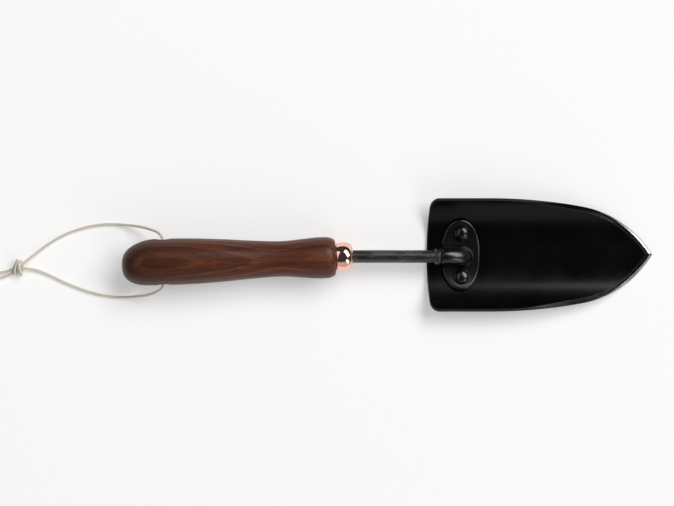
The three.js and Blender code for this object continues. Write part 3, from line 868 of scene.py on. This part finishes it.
def bossRings():
    radius, foot, steps = bracket["bossRadius"], bracket["bossFoot"], bracket["flankSteps"]
    floor = trough["sheet"] + bracket["gap"] + bracket["padThickness"] - bracket["bossSink"]
    flank = []
    for i in range(1, steps + 1):
        flank.append((radius + (foot - radius) * (i / steps) ** bracket["footPower"], -i / steps))
    arch = flank[::-1]
    for i in range(bracket["crownSteps"] + 1):
        angle = math.pi * i / bracket["crownSteps"]
        arch.append((radius * math.cos(angle), math.sin(angle)))
    arch += [(-y, rise) for y, rise in flank]
    noseFrom = bracket["bossTo"] - bracket["bossNose"]
    slope = bracket["bossTo"] - bracket["crownFrom"]
    stations = [(bracket["bossFrom"] + far, swell, rising) for far, swell, rising in bracket["mouth"]]
    for i in range(bracket["crownSlopeSteps"] + 1):
        forward = math.sin(math.radians(bracket["noseTurn"] * i / bracket["crownSlopeSteps"]))
        x = bracket["crownFrom"] + slope * forward
        across = max(0, x - noseFrom) / bracket["bossNose"]
        stations.append((x, math.sqrt(1 - across ** 2), math.sqrt(1 - forward ** 2)))
    rings = []
    for x, swell, rising in stations:
        height = axisHeight(x)
        ring = []
        for y, rise in arch:
            z = height + (rise * radius if rise >= 0 else rise * (height - floor))
            ring.append(Vector((x, haftPlace.to_translation().y + y * swell, floor + (z - floor) * rising)))
        rings.append(ring)
    return rings


def addBracket():
    piece = addPiece("socket_plate", *skinRings(padRings()), [forgedMaterial])
    boss = addPiece("boss", *skinRings(bossRings()), [forgedMaterial])
    carve(piece, boss, "UNION")
    bore = [(x, bracket["boreRadius"]) for x in (bracket["boreFrom"], bracket["boreTo"])]
    carve(piece, addPiece("tool", *skinRings(turnRings(bore, holeSides)), [], place=haftPlace))
    for side in (1, -1):
        carve(piece, rivetTool(side))
    settle(piece, "black_coat", "socket_bracket")


trowelBlade = addBlade()
for side in (1, -1):
    carve(trowelBlade, rivetTool(side), sharpFrom=24)
settle(trowelBlade, "black_coat", "blade")
print("blade pressed:", len(trowelBlade.data.polygons), "faces")
addBracket()
addRivet("domed_rivet_left", 1, "rivet_left")
addRivet("domed_rivet_right", -1, "rivet_right")
print("bracket riveted on")

shank = {
    "radius": 4.2,
    "end": 68.9,
    "spigotRadius": 3.2,
    "spigotLength": 6.0,
    "chamfer": 0.3,
    "tangLength": 98.0,
    "tangPoint": 3.0,
    "tangTaper": 1.2,
    "inWood": 5.9,
    "beadRadius": 5.45,
    "beadLength": 4.4,
    "beadLumps": 0.55,
    "beadSteps": 14,
    "hammer": 0.07,  # height of the shallow forging marks along the rod
    "rodSteps": 72,
    "sides": 48,
}


def forgedBlack():
    # hot-rolled rod under matt black stove paint: mill scale shows through as a fine mottled grain
    material, tree = newMaterial("mattBlackHotRolledSteel")
    place = addNode(tree, "TexCoord")
    drawn = addNode(
        tree, "Mapping", {"Scale": (0.35, 1, 1)}, {"Vector": place.outputs["Object"]}
    )
    grain = addNode(
        tree, "TexNoise", {"Scale": 1 / (0.8 * mm), "Detail": 4, "Roughness": 0.65},
        {"Vector": drawn.outputs["Vector"]},
    )
    patches = addNode(
        tree, "TexNoise", {"Scale": 1 / (5 * mm), "Detail": 3, "Roughness": 0.6},
        {"Vector": drawn.outputs["Vector"]},
    )
    both = addNode(
        tree, "Math", {1: 0.5}, {0: grain.outputs["Fac"], 2: patches.outputs["Fac"]}, operation="MULTIPLY_ADD"
    )
    colour = addNode(
        tree, "ValToRGB", links={"Fac": both.outputs["Value"]},
        stops=[(0.6, "#040405"), (0.76, "#111112"), (0.9, "#3c3c3d")],
    )
    matt = addNode(
        tree, "MapRange", {"From Min": 0.5, "From Max": 1, "To Min": 0.3, "To Max": 0.42},
        {"Value": both.outputs["Value"]},
    )
    raised = addNode(
        tree, "Bump", {"Strength": 1, "Distance": 0.12 * mm}, {"Height": both.outputs["Value"]}
    )
    surface = addNode(
        tree, "BsdfPrincipled", {"IOR": 1.7},
        {"Base Color": colour.outputs["Color"], "Roughness": matt.outputs["Result"],
         "Normal": raised.outputs["Normal"]},
    )
    addNode(tree, "OutputMaterial", links={"Surface": surface.outputs["BSDF"]})
    return material


def addShank():
    end, rod, thin, chamfer = shank["end"], shank["radius"], shank["spigotRadius"], shank["chamfer"]
    front, back = end + shank["spigotLength"], -shank["tangLength"]
    profile = [(front, hubRadius), (front, thin - chamfer), (front - chamfer, thin), (end, thin)]
    for i in range(shank["beadSteps"] + 1):
        share = i / shank["beadSteps"]
        hump = math.sqrt(max(0, 1 - (2 * share - 1) ** 2))
        profile.append((end - shank["beadLength"] * share, rod + (shank["beadRadius"] - rod) * hump))
    rodEnd = end - shank["beadLength"]
    for i in range(1, shank["rodSteps"] + 1):
        profile.append((rodEnd + (shank["inWood"] - rodEnd) * i / shank["rodSteps"], rod))
    profile += [(shank["inWood"], thin), (back + shank["tangPoint"], thin)]
    profile += [(back, thin - shank["tangTaper"]), (back, hubRadius)]
    rings = turnRings(profile, shank["sides"])
    for (x, radius), ring in zip(profile, rings):
        onBead = smooth(x, rodEnd - 0.2, rodEnd + 1) * (1 - smooth(x, end - 0.4, end))
        for point in ring:
            around = Vector((0, point.y, point.z))
            if around.length < thin + 0.01:  # the turned ends stay plain
                continue
            lump = noise.noise(point * 0.75) + 0.4 * noise.noise(point * 1.9)
            ripple = shank["hammer"] * noise.noise(Vector((x * 0.12, point.y * 0.3, point.z * 0.3)))
            around = around.normalized() * (onBead * shank["beadLumps"] * lump + ripple)
            point += around
    piece = addPiece("rod_shank", *skinRings(rings), [forgedBlack()], place=haftPlace, sharpFrom=50)
    settle(piece, "black_rod", "shank")


ferrule = {
    "radius": 9.5,
    "wall": 1.0,
    "bore": 4.5,
    "dome": 6.2,
    "domeInner": 5.2,
    "mouthTurnIn": 0.8,
    "lip": 0.25,
    "lipRise": 0.2,
    "lipRound": 0.15,
    "domeSteps": 18,
    "barrelSteps": 16,
    "insideSteps": 6,
    "sides": 128,
}


def copperPlate():
    # bright copper plate over a drawn steel cup: mirror gloss, faint hoop lines from spinning, light tarnish
    material, tree = newMaterial("brightCopperPlate")
    place = addNode(tree, "TexCoord")
    hoops = addNode(
        tree, "Mapping", {"Scale": (1, 0.06, 0.06)}, {"Vector": place.outputs["Object"]}
    )
    lines = addNode(
        tree, "TexNoise", {"Scale": 1 / (0.3 * mm), "Detail": 3}, {"Vector": hoops.outputs["Vector"]}
    )
    tarnish = addNode(
        tree, "TexNoise", {"Scale": 1 / (3.5 * mm), "Detail": 4, "Roughness": 0.6},
        {"Vector": place.outputs["Object"]},
    )
    colour = addNode(
        tree, "ValToRGB", links={"Fac": tarnish.outputs["Fac"]},
        stops=[(0.35, "#fbcdbc"), (0.6, "#f8c1ae"), (0.8, "#e2a288")],
    )
    gloss = addNode(
        tree, "MapRange", {"From Min": 0.3, "From Max": 0.8, "To Min": 0.05, "To Max": 0.15},
        {"Value": tarnish.outputs["Fac"]},
    )
    raised = addNode(
        tree, "Bump", {"Strength": 0.35, "Distance": 0.004 * mm}, {"Height": lines.outputs["Fac"]}
    )
    surface = addNode(
        tree, "BsdfPrincipled", {"Metallic": 1},
        {"Base Color": colour.outputs["Color"], "Roughness": gloss.outputs["Result"],
         "Normal": raised.outputs["Normal"]},
    )
    addNode(tree, "OutputMaterial", links={"Surface": surface.outputs["BSDF"]})
    return material


def addFerrule():
    radius, wall, end = ferrule["radius"], ferrule["wall"], haft["ferruleTo"]
    domeFrom, base = end - ferrule["dome"], ferrule["domeInner"]
    bore, lip = ferrule["bore"], end - ferrule["lip"]
    section = [(end - wall, bore), (lip, bore), (lip + ferrule["lipRise"], bore + ferrule["lipRound"])]
    for i in range(1, ferrule["domeSteps"] + 1):
        angle = math.radians(90 * i / ferrule["domeSteps"])
        x = domeFrom + ferrule["dome"] * math.cos(angle)
        section.append((x, base + (radius - base) * math.sin(angle)))
    barrel = domeFrom - haft["ferruleFrom"]
    for i in range(1, ferrule["barrelSteps"] + 1):  # the barrel narrows a little towards its mouth
        share = i / ferrule["barrelSteps"]
        section.append((domeFrom - barrel * share, radius - ferrule["mouthTurnIn"] * share ** 2))
    section.append((haft["ferruleFrom"], radius - ferrule["mouthTurnIn"] - wall / 2))
    inside = radius - wall
    for i in range(ferrule["insideSteps"], 0, -1):
        angle = math.radians(90 * i / ferrule["insideSteps"])
        deep = domeFrom + (ferrule["dome"] - wall) * math.cos(angle)
        section.append((deep, base + (inside - base) * math.sin(angle)))
    cup = skinRings(turnRings(section, ferrule["sides"]), joined=True)
    piece = addPiece("copper_ferrule", *cup, [copperPlate()], place=haftPlace, sharpFrom=50)
    settle(piece, "copper_plate", "ferrule")


handle = {
    "length": 138.7,
    "bulgeRadius": 15.15,
    "buttLength": 26.0,
    "buttPower": 2.6,
    "buttFullness": 3,
    "buttCrowding": 1.7,  # sets its rings closer together at the end
    "buttSteps": 44,
    "shoulderLength": 7.0,
    "shoulderDrop": 3.3,
    "shoulderSteps": 12,
    "flareRadius": 13.45,
    # (distance from the front face, radius) down the waist and up to the bulge
    "waist": [
        (-7, 13.45), (-13, 13.35), (-23, 12.45), (-36, 11.55), (-54, 12.4), (-74, 13.9), (-95, 14.95),
        (-112.7, 15.15),
    ],
    "spigotRadius": 7.8,
    "spigotLength": 5.3,
    "spigotChamfer": 0.4,
    "buttLean": 1.5,  # the turned end sits a little to the right and is a little thin
    "leanOver": 22.0,
    "leanThinning": 0.4,
    "outOfRound": 0.12,
    "holeAt": -111.8,
    "holeRadius": 2.2,
    "countersinkRadius": 5.0,
    "countersinkDepth": 2.6,
    "countersinkEase": 0.35,  # rounds the corner between countersink and bore
    "toolBeyond": 4.0,  # how far the drilling tool stands out
    "boreFront": 12.0,
    "boreSpare": 0.6,
    "boreClearance": 0.3,
    "ringStep": 1.0,
    "sides": 96,
    "ringSpacing": 3.1,  # of the growth layers
    "layerAt": 13.6,  # height over the axis of the layer that the bulge cuts into an oval
    "layerSlope": -0.0185,
    "layerSway": 3.2,
    "soakedFrom": -70.0,
}


def oiledWalnut():
    # black walnut, turned, sanded and oiled: deep red-brown growth layers with a pale line between them,
    # long fibres, and open pores that show as short dark dashes. Pores are drawn about twice as wide as real.
    material, tree = newMaterial("oiledBlackWalnut")
    place = addNode(tree, "TexCoord")
    parts = addNode(tree, "SeparateXYZ", links={0: place.outputs["Object"]})
    swayPlace = addNode(tree, "Mapping", {"Scale": (0.16, 1, 1)}, {"Vector": place.outputs["Object"]})
    sway = addNode(
        tree, "TexNoise", {"Scale": 1 / (11 * mm), "Detail": 2, "Roughness": 0.45},
        {"Vector": swayPlace.outputs["Vector"]},
    )
    # height of each point within the layers, in layers and above zero all over
    tilted = addNode(
        tree, "Math", {1: handle["layerSlope"]}, {0: parts.outputs["X"], 2: parts.outputs["Z"]},
        operation="MULTIPLY_ADD",
    )
    bent = addNode(
        tree, "Math", {1: handle["layerSway"] * mm}, {0: sway.outputs["Fac"], 2: tilted.outputs["Value"]},
        operation="MULTIPLY_ADD",
    )
    oneLayer = handle["layerAt"] + handle["layerSway"] / 2
    layers = addNode(
        tree, "MapRange",
        {"From Min": oneLayer * mm, "From Max": (oneLayer + handle["ringSpacing"]) * mm,
         "To Min": 10, "To Max": 11},
        {"Value": bent.outputs["Value"]}, clamp=False,
    )
    layer = addNode(tree, "Math", links={0: layers.outputs["Result"]}, operation="FRACT")
    growth = addNode(
        tree, "ValToRGB", links={"Fac": layer.outputs["Value"]},
        stops=[(0.0, "#603220"), (0.08, "#4c2616"), (0.35, "#512918"), (0.72, "#592e1c"), (0.93, "#683924"),
               (1.0, "#603220")],
    )
    fibrePlace = addNode(tree, "Mapping", {"Scale": (0.03, 1, 1)}, {"Vector": place.outputs["Object"]})
    fibres = addNode(
        tree, "TexNoise", {"Scale": 1 / (0.55 * mm), "Detail": 4, "Roughness": 0.7},
        {"Vector": fibrePlace.outputs["Vector"]},
    )
    streaks = addNode(
        tree, "TexNoise", {"Scale": 1 / (2.4 * mm), "Detail": 3, "Roughness": 0.6},
        {"Vector": fibrePlace.outputs["Vector"]},
    )
    streaked = addNode(
        tree, "Math", {1: 0.8}, {0: streaks.outputs["Fac"], 2: fibres.outputs["Fac"]},
        operation="MULTIPLY_ADD",
    )
    tone = addNode(
        tree, "ValToRGB", links={"Fac": streaked.outputs["Value"]},
        stops=[(0.62, "#6e6a68"), (0.9, "#bcbcbc"), (1.0, "#dedbd8")],
    )
    wood = addNode(
        tree, "Mix", {"Factor": 0.78}, {"A": growth.outputs["Color"], "B": tone.outputs["Color"]},
        data_type="RGBA", blend_type="OVERLAY",
    )
    porePlace = addNode(tree, "Mapping", {"Scale": (0.085, 1, 1)}, {"Vector": place.outputs["Object"]})
    pores = addNode(
        tree, "TexNoise", {"Scale": 1 / (0.42 * mm), "Detail": 1, "Roughness": 0.4},
        {"Vector": porePlace.outputs["Vector"]},
    )
    pore = addNode(
        tree, "MapRange", {"From Min": 0.63, "From Max": 0.7}, {"Value": pores.outputs["Fac"]}
    )
    soaked = addNode(  # end grain drinks more oil
        tree, "MapRange",
        {"From Min": handle["soakedFrom"] * mm, "From Max": -handle["length"] * mm, "To Max": 0.62},
        {"Value": parts.outputs["X"]},
    )
    oiled = addNode(
        tree, "Mix", {"B": linear("#2b1208")},
        {"Factor": soaked.outputs["Result"], "A": wood.outputs["Result"]}, data_type="RGBA",
    )
    colour = addNode(
        tree, "Mix", {"B": linear("#24130d")},
        {"Factor": pore.outputs["Result"], "A": oiled.outputs["Result"]}, data_type="RGBA",
    )
    satin = addNode(
        tree, "MapRange", {"From Min": 0.5, "From Max": 1.1, "To Min": 0.46, "To Max": 0.34},
        {"Value": streaked.outputs["Value"]},
    )
    grooves = addNode(
        tree, "Math", {1: -1.2}, {0: pore.outputs["Result"], 2: fibres.outputs["Fac"]},
        operation="MULTIPLY_ADD",
    )
    raised = addNode(
        tree, "Bump", {"Strength": 0.8, "Distance": 0.05 * mm}, {"Height": grooves.outputs["Value"]}
    )
    surface = addNode(
        tree, "BsdfPrincipled", {"IOR": 1.36},
        {"Base Color": colour.outputs["Result"], "Roughness": satin.outputs["Result"],
         "Normal": raised.outputs["Normal"]},
    )
    addNode(tree, "OutputMaterial", links={"Surface": surface.outputs["BSDF"]})
    return material


def crossHoleTool():  # for the cord's hole, countersunk from both sides
    hole, depth, ease = handle["holeRadius"], handle["countersinkDepth"], handle["countersinkEase"]
    reach, mouth = handle["bulgeRadius"] + handle["toolBeyond"], handle["bulgeRadius"] - depth
    spread = (handle["countersinkRadius"] - hole) / depth
    half = [(reach, hole + spread * (reach - mouth)), (mouth + ease, hole + spread * ease)]
    half += [(mouth, hole + 0.1), (mouth - ease, hole)]
    profile = half + [(-x, r) for x, r in reversed(half)]
    crossing = woodPlace @ Matrix.Translation((handle["holeAt"], 0, 0)) @ Matrix.Rotation(math.pi / 2, 4, "Z")
    return addPiece("tool", *skinRings(turnRings(profile, holeSides)), [], place=crossing)


def addHandle():
    walnut = oiledWalnut()
    flare, length = handle["flareRadius"], handle["length"]
    spigot, front, chamfer = handle["spigotRadius"], handle["spigotLength"], handle["spigotChamfer"]
    profile = [(front, 0.5), (front, spigot - chamfer), (front - chamfer, spigot)]
    profile += [(0, spigot), (0, spigot + 0.1)]
    for i in range(handle["shoulderSteps"] + 1):
        angle = math.radians(90 * i / handle["shoulderSteps"])
        back = handle["shoulderLength"] * (math.cos(angle) - 1)
        profile.append((back, flare - handle["shoulderDrop"] * (1 - math.sin(angle))))
    waist = smoothPath([(x, r, 0) for x, r in handle["waist"]], handle["ringStep"])
    profile += [(point.x, point.y) for point in waist[1:]]
    for i in range(1, handle["buttSteps"]):
        share = (1 - i / handle["buttSteps"]) ** handle["buttCrowding"]
        swell = (1 - (1 - share) ** handle["buttFullness"]) ** (1 / handle["buttPower"])
        profile.append((handle["buttLength"] * share - length, handle["bulgeRadius"] * swell))
    rings = turnRings(profile, handle["sides"])
    for ring in rings:
        for point in ring:
            bulk = Vector((0, point.y, point.z))
            sway = noise.noise(Vector((point.x * 0.02, point.y * 0.06, point.z * 0.06)))
            point += bulk * (handle["outOfRound"] * sway / handle["bulgeRadius"])
            lean = 1 - smooth(point.x, -length, handle["leanOver"] - length)
            thinning = 1 + handle["leanThinning"] * point.y / handle["bulgeRadius"]
            point.y -= handle["buttLean"] * lean * thinning
    piece = addPiece("walnut_handle", *skinRings(rings), [walnut], place=woodPlace)
    carve(piece, crossHoleTool())
    bore = shank["spigotRadius"] + handle["boreClearance"]
    ends = [(-shank["tangLength"] - handle["boreSpare"], bore), (handle["boreFront"], bore)]
    carve(piece, addPiece("tool", *skinRings(turnRings(ends, holeSides)), [], place=haftPlace))
    settle(piece, "walnut", "handle")


addShank()
addFerrule()
addHandle()
print("haft fitted")
